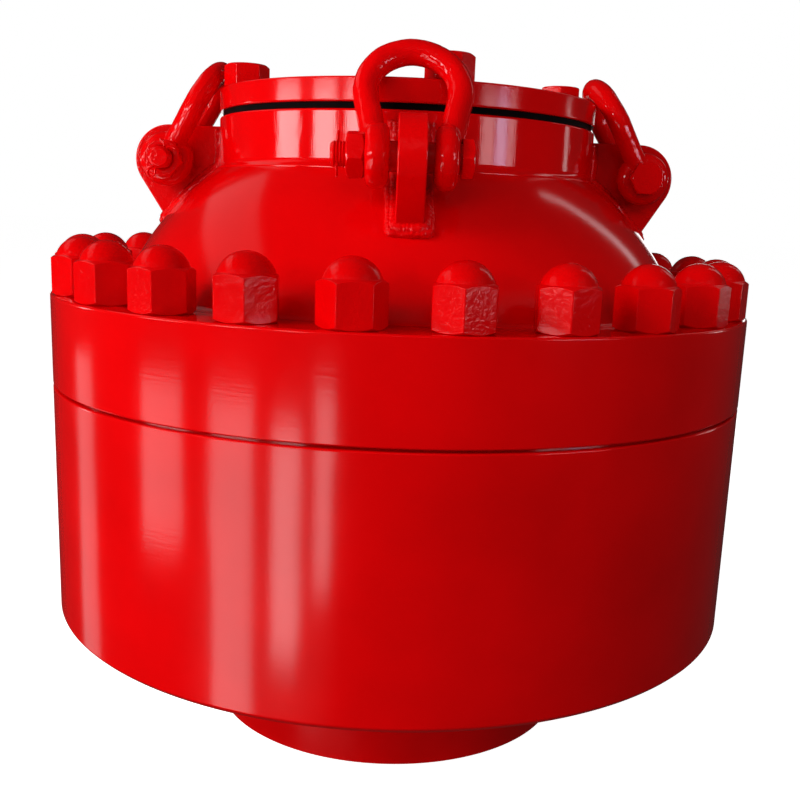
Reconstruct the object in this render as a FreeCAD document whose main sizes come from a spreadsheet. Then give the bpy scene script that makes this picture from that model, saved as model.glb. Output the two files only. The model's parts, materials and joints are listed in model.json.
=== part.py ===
"""Annular blowout preventer, bolted spherical bonnet, 11 in bore, 3000 psi connections.

Millimetres, +Z up.  The origin is the centre of the raised face of the bottom flange, which
the preventer stands on.  The front lifting lug faces -Y.

The pressure shell is two steel castings, the lower housing and the bonnet, held together by
24 studs with cap nuts.  Inside are the piston and the rubber packing element.  A cover plate
on a gasket closes the top of the bore, and four bow shackles hang in four welded lugs.
"""
import FreeCAD, Part
import os
import re
import Sketcher

Vector = FreeCAD.Vector
Rotation = FreeCAD.Rotation
Placement = FreeCAD.Placement

# ---------------------------------------------------------------- driving dimensions
SIZES = {
    # through bore and bottom flange
    "bore_radius": 139.7,
    "raised_face_radius": 206.4,
    "raised_face_height": 7.9,
    "flange_radius": 272.5,
    "flange_top": 71.4,
    "ring_groove_radius": 161.9,
    "ring_groove_width": 11.9,
    "ring_groove_floor": 5.2,
    "ring_groove_depth": 7.9,
    "bolt_circle_radius": 235.0,
    "bolt_hole_radius": 19.05,
    "bolt_count": 16,
    "hub_radius": 184.2,
    "hub_fillet": 12.7,
    # lower housing and the seam under the bonnet
    "body_radius": 506.5,
    "housing_bottom": 181.2,
    "seam_height": 513.6,
    "seam_gap": 3.5,
    "seam_depth": 11.0,
    "rim_chamfer": 7.0,
    "edge_chamfer": 2.5,
    "cavity_radius": 420.0,
    "cavity_floor": 251.0,
    "sleeve_radius": 165.0,
    "sleeve_top": 408.0,
    # bonnet
    "bonnet_flange_top": 638.4,
    "dome_radius": 451.0,
    "dome_inner_radius": 385.0,
    "dome_centre": 460.4,
    "dome_foot_fillet": 10.0,
    "neck_radius": 272.5,
    "neck_top": 886.2,
    "neck_fillet": 5.0,
    # piston and packing element
    "slide_gap": 0.5,
    "piston_bottom": 270.0,
    "piston_head_bottom": 308.0,
    "piston_head_top": 358.0,
    "piston_tube_radius": 200.0,
    "piston_seat_radius": 340.0,
    "piston_seat_bottom": 598.0,
    "piston_top": 628.0,
    "packing_top": 812.0,
    "packing_throat": 143.0,
    # studs and cap nuts of the bonnet joint
    "stud_circle_radius": 466.0,
    "stud_count": 24,
    "stud_radius": 22.2,
    "stud_hole_radius": 23.8,
    "stud_depth": 110.0,
    "stud_rise": 55.0,
    "cap_nut_flats": 69.85,
    "cap_nut_hex_height": 53.0,
    "cap_nut_dome_radius": 34.3,
    "cap_nut_height": 78.0,
    # cover plate, its gasket and its four studs with nuts
    "gasket_inner_radius": 150.0,
    "gasket_radius": 268.0,
    "gasket_thickness": 8.0,
    "cover_thickness": 29.8,
    "cover_edge_chamfer": 4.0,
    "cover_stud_radius": 17.45,
    "cover_hole_radius": 19.05,
    "cover_stud_depth": 45.0,
    "cover_nut_flats": 55.6,
    "cover_nut_height": 35.0,
    "cover_stud_drop": 2.0,
    # lifting lugs and their welds
    "lug_thickness": 34.0,
    "lug_pin_radius": 346.0,
    "lug_pin_height": 826.4,
    "lug_corner_radius": 50.0,
    "lug_hole_radius": 19.0,
    "lug_slope": 58.0,
    "lug_edge_length": 90.0,
    "lug_root_depth": 10.0,
    "weld_radius": 12.0,
    # bow shackles
    "bow_bar_radius": 15.5,
    "bow_crown_radius": 56.75,
    "bow_crown_height": 88.7,
    "jaw_half_gap": 25.75,
    "eye_radius": 38.0,
    "eye_thickness": 29.0,
    "eye_hole_radius": 18.0,
    "pin_shank_radius": 17.5,
    "pin_thread_radius": 15.0,
    "pin_thread_length": 39.5,
    "pin_head_flats": 44.5,
    "pin_head_height": 15.0,
    "pin_head_gap": 3.0,
    "shackle_nut_flats": 50.0,
    "shackle_nut_height": 21.0,
    "cotter_radius": 3.0,
    "cotter_length": 46.0,
    "cotter_inset": 8.0,
    "cotter_eye_radius": 5.5,
    "bow_lean": 30.2,
}

# Azimuths are degrees from +X towards +Y, so the front is 270.
SIDES = {"front": 270.0, "right": 0.0, "back": 90.0, "left": 180.0}
# On the front and back shackles the pin's head is on the counter-clockwise side.
PIN_HEAD_TURN = {"front": -90.0, "right": 90.0, "back": -90.0, "left": 90.0}
NUTS_PER_SIDE = 6
COVER_NUT_AZIMUTHS = (281.25, 11.25, 101.25, 191.25)
COVER_NUT_TURNS = (43.0, 40.0, 43.0, 29.0)
SHACKLE_NUT_TURN = -11.0
# How far each cap nut came to rest round its stud, in degrees, from the front left corner.
CAP_NUT_TURNS = {
    "front": (2, 56, 14, 18, 5, 22),
    "right": (59, 51, 42, 19, 35, 52),
    "back": (11, 39, 0, 25, 47, 14),
    "left": (54, 32, 8, 43, 34, 17),
}

doc = FreeCAD.newDocument("blowout_preventer")
sheet = doc.addObject("Spreadsheet::Sheet", "sizes")
for row, (alias, size) in enumerate(SIZES.items(), start=1):
    sheet.set("A%d" % row, alias)
    sheet.set("B%d" % row, str(size))
    sheet.setAlias("B%d" % row, alias)
doc.recompute()


# ---------------------------------------------------------------- sheet and sketch helpers
def sized(formula):
    """A formula in the sheet's words, with each word pointed at its cell."""
    def cell(match):
        word = match.group(0)
        return "sizes." + word if word in SIZES else word
    return re.sub(r"[a-z_]+", cell, str(formula))


def value(formula):
    """The number that a formula comes to with the sizes in the sheet."""
    result = sheet.evalExpression(sized(formula))
    return float(getattr(result, "Value", result))


def bind(item, **formulas):
    """Ties an object's properties to formulas on the sheet."""
    for name, formula in formulas.items():
        item.setExpression(name, sized(formula))


def origin_plane(body, role):
    """One of a body's own origin planes or axes, by its role."""
    return [item for item in body.Origin.OriginFeatures if item.Role == role][0]


def new_body(label):
    body = doc.addObject("PartDesign::Body", label)
    body.Label = label
    return body


def new_sketch(body, name, plane, lift="0"):
    """A sketch on an origin plane of the body, lifted off it along its normal."""
    sketch = body.newObject("Sketcher::SketchObject", body.Name + "_" + name)
    sketch.AttachmentSupport = (origin_plane(body, plane), "")
    sketch.MapMode = "FlatFace"
    if lift != "0":
        sketch.AttachmentOffset = Placement(Vector(0, 0, value(lift)), Rotation())
        sketch.setExpression("AttachmentOffset.Base.z", sized(lift))
    return sketch


def measure(sketch, kind, geometry, point, formula):
    """A horizontal or vertical distance from the sketch's origin to a point."""
    if formula == "0":
        axis = -2 if kind == "DistanceX" else -1
        sketch.addConstraint(Sketcher.Constraint("PointOnObject", geometry, point, axis))
        return
    number = sketch.addConstraint(
        Sketcher.Constraint(kind, -1, 1, geometry, point, value(formula)))
    sketch.setExpression("Constraints[%d]" % number, sized(formula))


def arc_between(start, end, radius, turn):
    """The arc of that radius from start to end, counter-clockwise where turn is +1."""
    chord = end.sub(start)
    middle = start.add(end).multiply(0.5)
    rise = (radius ** 2 - (chord.Length / 2) ** 2) ** 0.5
    normal = Vector(-chord.y, chord.x, 0).normalize()
    centre = middle.add(normal.multiply(rise * turn))
    first, last = (start, end) if turn > 0 else (end, start)
    circle = Part.Circle(centre, Vector(0, 0, 1), radius)
    return Part.ArcOfCircle(circle, circle.parameter(first), circle.parameter(last))


def draw(sketch, corners, closed=True):
    """Draws an outline or a path through its corners, each tied to the sheet.

    A corner is (x, y) after a straight run, or (x, y, radius, turn) after an arc, where turn
    is 1 for a counter-clockwise arc and -1 for a clockwise one.
    """
    places = [Vector(value(corner[0]), value(corner[1]), 0) for corner in corners]
    runs = []
    for index, corner in enumerate(corners):
        if index == 0 and not closed:
            continue
        start, end = places[index - 1], places[index]
        if len(corner) == 2:
            geometry = sketch.addGeometry(Part.LineSegment(start, end), False)
            runs.append((geometry, 1, 2))
        else:
            radius, turn = corner[2], corner[3]
            arc = arc_between(start, end, value(radius), turn)
            geometry = sketch.addGeometry(arc, False)
            runs.append((geometry, 1, 2) if turn > 0 else (geometry, 2, 1))
            number = sketch.addConstraint(
                Sketcher.Constraint("Radius", geometry, value(radius)))
            sketch.setExpression("Constraints[%d]" % number, sized(radius))
        measure(sketch, "DistanceX", geometry, runs[-1][2], corner[0])
        measure(sketch, "DistanceY", geometry, runs[-1][2], corner[1])
    for before, after in zip(runs, runs[1:]):
        join(sketch, before, after)
    if closed:
        join(sketch, runs[-1], runs[0])
    else:
        measure(sketch, "DistanceX", runs[0][0], runs[0][1], corners[0][0])
        measure(sketch, "DistanceY", runs[0][0], runs[0][1], corners[0][1])


def join(sketch, before, after):
    sketch.addConstraint(
        Sketcher.Constraint("Coincident", before[0], before[2], after[0], after[1]))


def draw_circle(sketch, radius, centre_x="0", centre_y="0"):
    centre = Vector(value(centre_x), value(centre_y), 0)
    circle = Part.Circle(centre, Vector(0, 0, 1), value(radius))
    geometry = sketch.addGeometry(circle, False)
    number = sketch.addConstraint(Sketcher.Constraint("Radius", geometry, value(radius)))
    sketch.setExpression("Constraints[%d]" % number, sized(radius))
    measure(sketch, "DistanceX", geometry, 3, centre_x)
    measure(sketch, "DistanceY", geometry, 3, centre_y)


def draw_hexagon(sketch, flats):
    """A hexagon about the sketch's origin, from its size across the flats."""
    corner = "(%s) / 2 / cos(30)" % flats
    draw(sketch, [("%s * cos(%d)" % (corner, angle), "%s * sin(%d)" % (corner, angle))
                  for angle in (30, 90, 150, 210, 270, 330)])


# ---------------------------------------------------------------- feature helpers
def revolve(body, name, corners, kind="PartDesign::Revolution"):
    """A full turn of an outline in the body's XZ plane about its Z axis."""
    sketch = new_sketch(body, name + "_outline", "XZ_Plane")
    draw(sketch, corners)
    feature = body.newObject(kind, body.Name + "_" + name)
    feature.Profile = sketch
    feature.ReferenceAxis = (sketch, ["V_Axis"])
    feature.Angle = 360.0
    doc.recompute()
    return feature


def pad(body, name, sketch, length, both_ways=False, backwards=False):
    feature = body.newObject("PartDesign::Pad", body.Name + "_" + name)
    feature.Profile = sketch
    feature.Midplane = both_ways
    feature.Reversed = backwards
    bind(feature, Length=length)
    doc.recompute()
    return feature


def pocket(body, name, sketch, length, both_ways=False, backwards=False):
    """A cut against the sketch's normal, or along it where backwards is set."""
    before = body.Shape.Volume
    feature = body.newObject("PartDesign::Pocket", body.Name + "_" + name)
    feature.Profile = sketch
    feature.Midplane = both_ways
    feature.Reversed = backwards
    bind(feature, Length=length)
    doc.recompute()
    if body.Shape.Volume > before - 1.0:
        raise RuntimeError("%s cuts nothing" % feature.Name)
    return feature


def polar(body, name, feature, sketch, count):
    """Repeats a feature evenly round the body's Z axis."""
    pattern = body.newObject("PartDesign::PolarPattern", body.Name + "_" + name)
    pattern.Originals = [feature]
    pattern.Axis = (sketch, ["N_Axis"])
    pattern.Angle = 360.0
    bind(pattern, Occurrences=count)
    body.Tip = pattern
    doc.recompute()


def round_holes(body, name, radius, pitch, azimuth, level, depth, count, backwards=False):
    """A ring of equal holes cut from a level plane of the body."""
    sketch = new_sketch(body, name + "_circle", "XY_Plane", level)
    draw_circle(sketch, radius, "%s * cos(%s)" % (pitch, azimuth),
                "%s * sin(%s)" % (pitch, azimuth))
    cut = pocket(body, name, sketch, depth, backwards=backwards)
    polar(body, name + "_ring", cut, sketch, count)


def cut_shape(label, base, tool):
    """One object less another, as an object of its own."""
    result = doc.addObject("Part::Cut", label)
    result.Base = base
    result.Tool = tool
    result.Label = label
    doc.recompute()
    return result


def round_z(azimuth):
    return Placement(Vector(), Rotation(Vector(0, 0, 1), azimuth))


# ---------------------------------------------------------------- pressure shell
def tangent_on_dome(radius, height, fillet):
    """Where a fillet centred at that radius and height touches the dome."""
    share = "dome_radius / (dome_radius + %s)" % fillet
    return ("(%s) * %s" % (radius, share),
            "dome_centre + (%s - dome_centre) * %s" % (height, share))


def make_bottom_flange():
    """The bottom connection: raised face, ring groove, bolt holes and hub."""
    body = new_body("bottom_flange")
    revolve(body, "forging", [
        ("bore_radius", "0"),
        ("ring_groove_radius - ring_groove_width / 2", "0"),
        ("ring_groove_radius - ring_groove_floor / 2", "ring_groove_depth"),
        ("ring_groove_radius + ring_groove_floor / 2", "ring_groove_depth"),
        ("ring_groove_radius + ring_groove_width / 2", "0"),
        ("raised_face_radius", "0"),
        ("raised_face_radius", "raised_face_height"),
        ("flange_radius - edge_chamfer", "raised_face_height"),
        ("flange_radius", "raised_face_height + edge_chamfer"),
        ("flange_radius", "flange_top - edge_chamfer"),
        ("flange_radius - edge_chamfer", "flange_top"),
        ("hub_radius + hub_fillet", "flange_top"),
        ("hub_radius", "flange_top + hub_fillet", "hub_fillet", -1),
        ("hub_radius", "housing_bottom - hub_fillet"),
        ("hub_radius + hub_fillet", "housing_bottom", "hub_fillet", -1),
        ("bore_radius", "housing_bottom"),
    ])
    round_holes(body, "flange_holes", "bolt_hole_radius", "bolt_circle_radius",
                "180 / bolt_count", "0", "flange_top + 1", "bolt_count", backwards=True)
    return body


def make_lower_housing():
    """Floor, outer wall and the sleeve that the piston rides on."""
    body = new_body("lower_housing")
    lip = "seam_height - seam_gap / 2"
    revolve(body, "casting", [
        ("bore_radius", "housing_bottom"),
        ("body_radius - rim_chamfer", "housing_bottom"),
        ("body_radius", "housing_bottom + rim_chamfer"),
        ("body_radius", lip + " - edge_chamfer"),
        ("body_radius - edge_chamfer", lip),
        ("body_radius - seam_depth", lip),
        ("body_radius - seam_depth", "seam_height"),
        ("cavity_radius", "seam_height"),
        ("cavity_radius", "cavity_floor"),
        ("sleeve_radius", "cavity_floor"),
        ("sleeve_radius", "sleeve_top"),
        ("bore_radius", "sleeve_top"),
    ])
    round_holes(body, "stud_holes", "stud_radius", "stud_circle_radius",
                "180 / stud_count", "seam_height", "stud_depth", "stud_count")
    return body


def make_bonnet():
    """Bolted flange, spherical dome and the neck with the upper face of the bore."""
    body = new_body("bonnet")
    lip = "seam_height + seam_gap / 2"
    foot_height = "bonnet_flange_top + dome_foot_fillet"
    foot_radius = ("sqrt((dome_radius + dome_foot_fillet)^2"
                   " - (%s - dome_centre)^2)" % foot_height)
    foot_on_dome = tangent_on_dome(foot_radius, foot_height, "dome_foot_fillet")
    corner_radius = "(neck_radius + neck_fillet)"
    corner_height = ("(dome_centre + sqrt((dome_radius + neck_fillet)^2 - %s^2))"
                     % corner_radius)
    corner_on_dome = tangent_on_dome(corner_radius, corner_height, "neck_fillet")
    revolve(body, "casting", [
        ("sqrt(dome_inner_radius^2 - (seam_height - dome_centre)^2)", "seam_height",
         "dome_inner_radius", -1),
        ("body_radius - seam_depth", "seam_height"),
        ("body_radius - seam_depth", lip),
        ("body_radius - edge_chamfer", lip),
        ("body_radius", lip + " + edge_chamfer"),
        ("body_radius", "bonnet_flange_top - edge_chamfer"),
        ("body_radius - edge_chamfer", "bonnet_flange_top"),
        (foot_radius, "bonnet_flange_top"),
        foot_on_dome + ("dome_foot_fillet", -1),
        corner_on_dome + ("dome_radius", 1),
        ("neck_radius", corner_height, "neck_fillet", -1),
        ("neck_radius", "neck_top - edge_chamfer"),
        ("neck_radius - edge_chamfer", "neck_top"),
        ("bore_radius", "neck_top"),
        ("bore_radius", "dome_centre + sqrt(dome_inner_radius^2 - bore_radius^2)"),
    ])
    round_holes(body, "stud_holes", "stud_hole_radius", "stud_circle_radius",
                "180 / stud_count", "bonnet_flange_top",
                "bonnet_flange_top - seam_height + 1", "stud_count")
    round_holes(body, "cover_stud_holes", "cover_stud_radius", "bolt_circle_radius",
                "180 / bolt_count", "neck_top", "cover_stud_depth", "4")
    return body


def make_piston():
    """Sliding tube, pressure head and the seat that pushes the packing element up."""
    body = new_body("piston")
    revolve(body, "casting", [
        ("sleeve_radius + slide_gap", "piston_bottom"),
        ("piston_tube_radius", "piston_bottom"),
        ("piston_tube_radius", "piston_head_bottom"),
        ("cavity_radius - slide_gap", "piston_head_bottom"),
        ("cavity_radius - slide_gap", "piston_head_top"),
        ("piston_tube_radius", "piston_head_top"),
        ("piston_tube_radius", "piston_seat_bottom"),
        ("piston_seat_radius", "piston_seat_bottom"),
        ("piston_seat_radius", "piston_top"),
        ("packing_throat", "piston_top"),
        ("packing_throat", "piston_seat_bottom"),
        ("sleeve_radius + slide_gap", "piston_seat_bottom"),
    ])
    return body


def make_packing_element():
    """Rubber ring with a spherical back that fits the inside of the dome."""
    body = new_body("packing_element")
    back = "(dome_inner_radius - slide_gap)"
    revolve(body, "rubber", [
        ("packing_throat", "piston_top"),
        ("sqrt(%s^2 - (piston_top - dome_centre)^2)" % back, "piston_top"),
        ("sqrt(%s^2 - (packing_top - dome_centre)^2)" % back, "packing_top", back, 1),
        ("packing_throat", "packing_top"),
    ])
    return body


def make_housing_studs():
    """The studs of the bonnet joint, screwed into the lower housing."""
    body = new_body("housing_studs")
    sketch = new_sketch(body, "circle", "XY_Plane", "seam_height - stud_depth")
    draw_circle(sketch, "stud_radius", "stud_circle_radius * cos(180 / stud_count)",
                "stud_circle_radius * sin(180 / stud_count)")
    stud = pad(body, "stud", sketch,
               "stud_depth + bonnet_flange_top - seam_height + stud_rise")
    body.AllowCompound = True
    polar(body, "ring", stud, sketch, "stud_count")
    return body


# ---------------------------------------------------------------- nuts
def bevel_hexagon(body, name, flats, height, from_radius, inward="-"):
    """Turns the corners at one end of a hexagon inward at 30 degrees, from a radius outwards."""
    reach = "(%s) / 2 / cos(30) + 5" % flats
    drop = "(%s - (%s)) * tan(30)" % (reach, from_radius)
    outward = "+" if inward == "-" else "-"
    revolve(body, name, [
        (from_radius, height),
        (reach, "%s %s %s" % (height, inward, drop)),
        (reach, "%s %s 1" % (height, outward)),
        (from_radius, "%s %s 1" % (height, outward)),
    ], kind="PartDesign::Groove")


def make_cap_nut_pattern():
    """One cap nut standing on the origin: bevelled hexagon, ball end, blind threaded hole."""
    body = new_body("cap_nut_pattern")
    sketch = new_sketch(body, "hexagon", "XY_Plane")
    draw_hexagon(sketch, "cap_nut_flats")
    pad(body, "hex", sketch, "cap_nut_hex_height")
    bevel_hexagon(body, "upper_bevel", "cap_nut_flats", "cap_nut_hex_height",
                  "cap_nut_flats / 2 - 1")
    bevel_hexagon(body, "lower_bevel", "cap_nut_flats", "0", "cap_nut_flats / 2 - 1",
                  inward="+")
    ball_height = "(cap_nut_height - cap_nut_dome_radius)"
    equator = "sqrt(cap_nut_dome_radius^2 - (cap_nut_hex_height - 3 - %s)^2)" % ball_height
    revolve(body, "ball", [
        ("0", "cap_nut_hex_height - 3"),
        (equator, "cap_nut_hex_height - 3"),
        ("0", "cap_nut_height", "cap_nut_dome_radius", 1),
    ])
    hole = new_sketch(body, "hole_circle", "XY_Plane")
    draw_circle(hole, "stud_radius")
    pocket(body, "hole", hole, "stud_rise", backwards=True)
    return body


def make_cap_nuts(pattern, side):
    """The six cap nuts of one side, each turned as it came to rest."""
    nuts = []
    step = 360.0 / value("stud_count")
    for index, turn in enumerate(CAP_NUT_TURNS[side]):
        azimuth = SIDES[side] + step * (index - (NUTS_PER_SIDE - 1) / 2)
        seat = Placement(Vector(value("stud_circle_radius"), 0,
                                value("bonnet_flange_top")),
                         Rotation(Vector(0, 0, 1), turn))
        nut = pattern.Shape.copy()
        nut.Placement = round_z(azimuth).multiply(seat)
        nuts.append(nut)
    group = doc.addObject("Part::Feature", "cap_nuts_" + side)
    group.Shape = Part.makeCompound(nuts)
    group.Label = "cap_nuts_" + side
    return group


def make_hex_nut(label, flats, height, hole_radius):
    """A plain nut standing on the origin, its upper corners bevelled."""
    body = new_body(label)
    sketch = new_sketch(body, "hexagon", "XY_Plane")
    draw_hexagon(sketch, flats)
    pad(body, "hex", sketch, height)
    bevel_hexagon(body, "bevel", flats, height, flats + " / 2 - 1")
    hole = new_sketch(body, "hole_circle", "XY_Plane")
    draw_circle(hole, hole_radius)
    pocket(body, "hole", hole, height + " + 1", backwards=True)
    return body


# ---------------------------------------------------------------- cover
COVER_BOTTOM = "neck_top + gasket_thickness"
COVER_TOP = "neck_top + gasket_thickness + cover_thickness"


def make_cover_gasket():
    body = new_body("cover_gasket")
    revolve(body, "ring", [
        ("gasket_inner_radius", "neck_top"),
        ("gasket_radius", "neck_top"),
        ("gasket_radius", COVER_BOTTOM),
        ("gasket_inner_radius", COVER_BOTTOM),
    ])
    round_holes(body, "stud_holes", "cover_hole_radius", "bolt_circle_radius",
                "180 / bolt_count", COVER_BOTTOM, "gasket_thickness + 1", "4")
    return body


def make_cover_plate():
    body = new_body("cover_plate")
    revolve(body, "disc", [
        ("0", COVER_BOTTOM),
        ("neck_radius - edge_chamfer", COVER_BOTTOM),
        ("neck_radius", COVER_BOTTOM + " + edge_chamfer"),
        ("neck_radius", COVER_TOP + " - cover_edge_chamfer"),
        ("neck_radius - cover_edge_chamfer", COVER_TOP),
        ("0", COVER_TOP),
    ])
    round_holes(body, "stud_holes", "cover_hole_radius", "bolt_circle_radius",
                "180 / bolt_count", COVER_TOP, "cover_thickness + 1", "4")
    return body


def make_cover_studs():
    body = new_body("cover_studs")
    sketch = new_sketch(body, "circle", "XY_Plane", "neck_top - cover_stud_depth")
    draw_circle(sketch, "cover_stud_radius", "bolt_circle_radius * cos(180 / bolt_count)",
                "bolt_circle_radius * sin(180 / bolt_count)")
    stud = pad(body, "stud", sketch, "cover_stud_depth + gasket_thickness"
               " + cover_thickness + cover_nut_height - cover_stud_drop")
    body.AllowCompound = True
    polar(body, "ring", stud, sketch, "4")
    return body


def make_cover_nut(number, azimuth, turn):
    body = make_hex_nut("cover_nut_%d" % number, "cover_nut_flats", "cover_nut_height",
                        "cover_stud_radius")
    seat = Placement(Vector(value("bolt_circle_radius"), 0, value(COVER_TOP)),
                     Rotation(Vector(0, 0, 1), turn))
    body.Placement = round_z(azimuth).multiply(seat)
    return body


# ---------------------------------------------------------------- lifting lugs
def make_lifting_lug(side, bonnet):
    """A plate standing on the dome and against the neck, with the hole for the pin."""
    blank = new_body("lug_blank_" + side)
    sketch = new_sketch(blank, "outline", "XZ_Plane")
    root = "neck_radius - lug_root_depth"
    edge_x = "lug_pin_radius + lug_corner_radius * sin(lug_slope)"
    edge_z = "lug_pin_height - lug_corner_radius * cos(lug_slope)"
    draw(sketch, [
        (root, "lug_pin_height + lug_corner_radius"),
        (root, "dome_centre + sqrt((dome_radius - 2 * lug_root_depth)^2 - (%s)^2)" % root),
        (edge_x + " - lug_edge_length * cos(lug_slope)",
         edge_z + " - lug_edge_length * sin(lug_slope)"),
        (edge_x, edge_z),
        ("lug_pin_radius", "lug_pin_height + lug_corner_radius", "lug_corner_radius", 1),
    ])
    pad(blank, "plate", sketch, "lug_thickness", both_ways=True)
    hole = new_sketch(blank, "hole_circle", "XZ_Plane")
    draw_circle(hole, "lug_hole_radius", "lug_pin_radius", "lug_pin_height")
    pocket(blank, "hole", hole, "lug_thickness + 2", both_ways=True)
    blank.Placement = round_z(SIDES[side])
    return cut_shape("lifting_lug_" + side, blank, bonnet)


def make_weld_beads(lug):
    """Round beads along both sides of the front lug, down the dome and round its foot."""
    beads = []
    turn = round_z(SIDES["front"])
    half = value("lug_thickness") / 2
    dome = value("dome_radius")
    run = (dome ** 2 - half ** 2) ** 0.5
    centre = value("dome_centre")
    neck = (value("neck_radius") ** 2 - half ** 2) ** 0.5
    # the foot is where the lug's outer edge, a sloping line, meets the dome
    slope = Vector(-value("cos(lug_slope)"), 0, -value("sin(lug_slope)"))
    corner = Vector(value("lug_pin_radius + lug_corner_radius * sin(lug_slope)"), 0,
                    value("lug_pin_height - lug_corner_radius * cos(lug_slope)"))
    arm = corner.sub(Vector(0, 0, centre))
    along = -arm.dot(slope) - (arm.dot(slope) ** 2 - arm.dot(arm) + run ** 2) ** 0.5
    foot = corner.add(slope.multiply(along))
    top = value("lug_pin_height + lug_corner_radius - 2 * edge_chamfer")
    junction = centre + (run ** 2 - neck ** 2) ** 0.5
    foot_angle = value("atan(%r / %r)" % (foot.z - centre, foot.x))
    neck_angle = value("atan(%r / %r)" % (junction - centre, neck))

    def add(kind, name, place, **formulas):
        bead = doc.addObject(kind, "bead_" + name)
        bind(bead, **formulas)
        bead.Placement = turn.multiply(place)
        beads.append(bead)

    upright = Rotation(Vector(1, 0, 0), 90)
    for name, y in (("a", -half), ("b", half)):
        start = Rotation(Vector(0, 0, 1), foot_angle)
        add("Part::Torus", "dome_" + name,
            Placement(Vector(0, y, centre), upright.multiply(start)),
            Radius1="sqrt(dome_radius^2 - (lug_thickness / 2)^2)", Radius2="weld_radius",
            Angle3="%r" % (neck_angle - foot_angle))
        add("Part::Cylinder", "neck_" + name, Placement(Vector(neck, y, junction), Rotation()),
            Radius="weld_radius", Height="%r" % (top - junction))
        add("Part::Sphere", "corner_" + name, Placement(Vector(neck, y, junction), Rotation()),
            Radius="weld_radius")
        add("Part::Sphere", "foot_" + name, Placement(Vector(foot.x, y, foot.z), Rotation()),
            Radius="weld_radius")
    add("Part::Cylinder", "foot", Placement(Vector(foot.x, half, foot.z), upright),
        Radius="weld_radius", Height="lug_thickness")
    joined = doc.addObject("Part::MultiFuse", "beads")
    joined.Shapes = beads
    doc.recompute()
    return cut_shape("beads_round_lug", joined, lug)


def make_lug_weld(side, beads, bonnet):
    """The front lug's beads, cut back to the dome and neck, then turned round to a side."""
    weld = cut_shape("lug_weld_" + side, beads, bonnet)
    weld.Placement = round_z(SIDES[side] - SIDES["front"])
    return weld


# ---------------------------------------------------------------- bow shackles
def shackle_place(side):
    """Where a shackle's own frame goes: pin along Y, bow along Z, leaning inwards."""
    pin = Vector(value("lug_pin_radius"), 0, value("lug_pin_height"))
    lean = Rotation(Vector(0, 1, 0), -value("bow_lean"))
    return round_z(SIDES[side]).multiply(Placement(pin, lean))


def make_shackle_bow(side):
    """A forged bow: half of it is swept from the crown to the eye, then mirrored."""
    body = new_body("shackle_bow_" + side)
    eye_y = "(jaw_half_gap + eye_thickness / 2)"
    # the leg is the tangent from the middle of the eye to the crown's circle
    reach = "sqrt(%s^2 + bow_crown_height^2)" % eye_y
    bearing = ("(atan(bow_crown_height / %s) + asin(bow_crown_radius / %s))"
               % (eye_y, reach))
    leg = "sqrt(%s^2 - bow_crown_radius^2)" % reach
    path = new_sketch(body, "path", "YZ_Plane")
    draw(path, [
        ("0", "bow_crown_height + bow_crown_radius"),
        ("%s - %s * cos(%s)" % (eye_y, leg, bearing), "%s * sin(%s)" % (leg, bearing),
         "bow_crown_radius", -1),
        (eye_y, "0"),
    ], closed=False)
    section = new_sketch(body, "section", "XZ_Plane")
    draw_circle(section, "bow_bar_radius", "0", "bow_crown_height + bow_crown_radius")
    doc.recompute()
    bar = body.newObject("PartDesign::AdditivePipe", body.Name + "_bar")
    bar.Profile = section
    bar.Spine = (path, ["Edge1", "Edge2"])
    doc.recompute()
    eye_circle = new_sketch(body, "eye_circle", "XZ_Plane", "-jaw_half_gap - eye_thickness")
    draw_circle(eye_circle, "eye_radius")
    eye = pad(body, "eye", eye_circle, "eye_thickness")
    mirror = body.newObject("PartDesign::Mirrored", body.Name + "_half")
    mirror.Originals = [bar, eye]
    mirror.MirrorPlane = (origin_plane(body, "XZ_Plane"), [""])
    body.Tip = mirror
    doc.recompute()
    # the faces of both eyes are flat inside and out, and the pin's hole runs through
    jaw = new_sketch(body, "jaw_circle", "XZ_Plane")
    draw_circle(jaw, "eye_radius")
    pocket(body, "jaw", jaw, "jaw_half_gap * 2", both_ways=True)
    for name, level, back in (("near", "jaw_half_gap + eye_thickness", True),
                              ("far", "-jaw_half_gap - eye_thickness", False)):
        face = new_sketch(body, name + "_face_circle", "XZ_Plane", level)
        draw_circle(face, "eye_radius")
        pocket(body, name + "_face", face, "eye_thickness", backwards=back)
    hole = new_sketch(body, "hole_circle", "XZ_Plane")
    draw_circle(hole, "eye_hole_radius")
    pocket(body, "hole", hole, "(jaw_half_gap + eye_thickness) * 2 + 4", both_ways=True)
    body.Placement = shackle_place(side)
    return body


def pin_place(side, distance):
    """A frame on the pin's axis, its Z along the axis towards the head."""
    turned = Rotation(Vector(1, 0, 0), PIN_HEAD_TURN[side])
    along = Placement(Vector(), turned).multiply(Placement(Vector(0, 0, distance), Rotation()))
    return shackle_place(side).multiply(along)


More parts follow.
